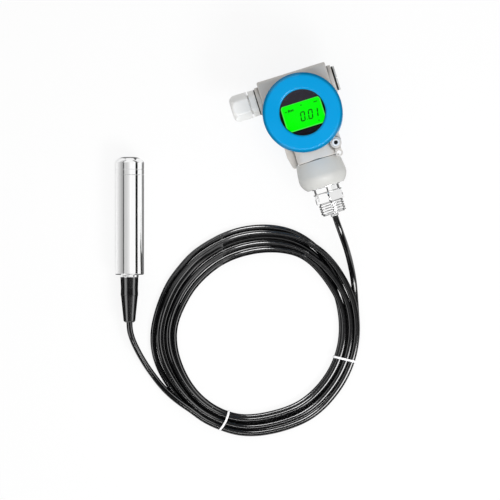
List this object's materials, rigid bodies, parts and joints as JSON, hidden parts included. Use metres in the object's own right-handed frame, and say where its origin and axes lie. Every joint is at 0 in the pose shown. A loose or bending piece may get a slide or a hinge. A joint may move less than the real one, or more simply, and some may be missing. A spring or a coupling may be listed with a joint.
{
  "type": "water level sensor",
  "caption": "Submersible water level sensor: round display head with screwed covers, cable gland and threaded fitting, a tied coil of cable and a steel probe with a boot.",
  "frame": {"origin": "centre of the rear cover's flat back, on the surface that the part lies on", "axes": "+Z out through the display, -Y along the neck towards the cable, -X towards the gland"},
  "size_m": [0.2657, 0.3271, 0.09],
  "materials": {
    "cast_grey": "satin light grey powder coat on a die casting",
    "cover_blue": "semi-gloss light blue paint",
    "adapter_grey": "smooth light grey paint",
    "polished_steel": "turned and polished stainless steel",
    "screw_steel": "plain stainless steel",
    "glass": "clear flat glass",
    "lcd": "green lit liquid crystal panel",
    "backlight": "pale diffuser",
    "bezel_dark": "dark plastic",
    "board_green": "coated circuit board",
    "spacer_brass": "plain turned brass",
    "terminal_plastic": "dark moulded plastic",
    "gland_plastic": "pale moulded polyamide",
    "plug_grey": "light grey moulded plug",
    "rubber_black": "black sealing rubber",
    "boot_black": "smooth moulded black rubber",
    "cable_black": "smooth glossy black jacket",
    "tie_white": "white coated tie"
  },
  "bodies": {
    "head": {"housing": "cast_grey", "cover_lock_screws": "screw_steel", "display_bezel": "bezel_dark", "lcd_panel": "lcd", "lcd_backlight": "backlight", "display_board": "board_green", "display_spacers": "spacer_brass", "display_screws": "screw_steel", "main_board": "board_green", "main_board_spacers": "spacer_brass", "terminal_block": "terminal_plastic", "terminal_screws": "screw_steel", "gland_gasket": "rubber_black", "gland_body": "gland_plastic", "adapter_gasket": "rubber_black", "sensor_adapter": "adapter_grey", "threaded_fitting": "polished_steel", "cable_bush": "polished_steel", "probe_tube": "polished_steel", "pressure_capsule": "screw_steel", "capsule_o_ring": "rubber_black", "probe_board": "board_green", "tail_plug": "polished_steel", "strain_relief_boot": "boot_black", "cable_lead_head": "cable_black", "cable_coil": "cable_black", "cable_lead_probe": "cable_black", "cable_ties": "tie_white"},
    "front_seal": {"front_cover_o_ring": "rubber_black"},
    "front_lid": {"front_cover": "cover_blue", "window_glass": "glass", "window_gasket": "rubber_black", "glass_retaining_ring": "screw_steel"},
    "rear_seal": {"rear_cover_o_ring": "rubber_black"},
    "rear_lid": {"rear_cover": "cover_blue"},
    "gland_insert": {"gland_seal": "rubber_black"},
    "gland_nut": {"gland_dome_nut": "gland_plastic"},
    "plug_seal": {"plug_gasket": "rubber_black"},
    "plug": {"blanking_plug": "plug_grey"},
    "nose_seal": {"nose_o_ring": "rubber_black"},
    "nose": {"nose_cap": "polished_steel"}
  },
  "joints": [
    {"name": "front_cover_travel", "type": "slide", "parent": "head", "child": "front_seal", "axis": [0, 0, 1], "range_m": [0, 0.009]},
    {"name": "front_cover_turn", "type": "hinge", "parent": "front_seal", "child": "front_lid", "pos_m": [0, 0, 0], "axis": [0, 0, 1], "range_deg": [0, 1620]},
    {"name": "rear_cover_travel", "type": "slide", "parent": "head", "child": "rear_seal", "axis": [0, 0, -1], "range_m": [0, 0.009]},
    {"name": "rear_cover_turn", "type": "hinge", "parent": "rear_seal", "child": "rear_lid", "pos_m": [0, 0, 0], "axis": [0, 0, -1], "range_deg": [0, 1620]},
    {"name": "gland_nut_travel", "type": "slide", "parent": "head", "child": "gland_insert", "axis": [-1, 0, 0], "range_m": [0, 0.009]},
    {"name": "gland_nut_turn", "type": "hinge", "parent": "gland_insert", "child": "gland_nut", "pos_m": [0, 0.0228, 0.043], "axis": [-1, 0, 0], "range_deg": [0, 2160]},
    {"name": "plug_travel", "type": "slide", "parent": "head", "child": "plug_seal", "axis": [1, 0, 0], "range_m": [0, 0.0105]},
    {"name": "plug_turn", "type": "hinge", "parent": "plug_seal", "child": "plug", "pos_m": [0, 0.0228, 0.043], "axis": [1, 0, 0], "range_deg": [0, 2520]},
    {"name": "nose_cap_travel", "type": "slide", "parent": "head", "child": "nose_seal", "axis": [0.2974, 0.9548, 0], "range_m": [0, 0.009]},
    {"name": "nose_cap_turn", "type": "hinge", "parent": "nose_seal", "child": "nose", "pos_m": [-0.172, 0.0102, 0.014], "axis": [0.2974, 0.9548, 0], "range_deg": [0, 2160]}
  ],
  "couplings": [
    {"joint": "front_cover_travel", "follows": "front_cover_turn", "m_per_rad": 0.0003183},
    {"joint": "rear_cover_travel", "follows": "rear_cover_turn", "m_per_rad": 0.0003183},
    {"joint": "gland_nut_travel", "follows": "gland_nut_turn", "m_per_rad": 0.00023873},
    {"joint": "plug_travel", "follows": "plug_turn", "m_per_rad": 0.00023873},
    {"joint": "nose_cap_travel", "follows": "nose_cap_turn", "m_per_rad": 0.00023873}
  ]
}
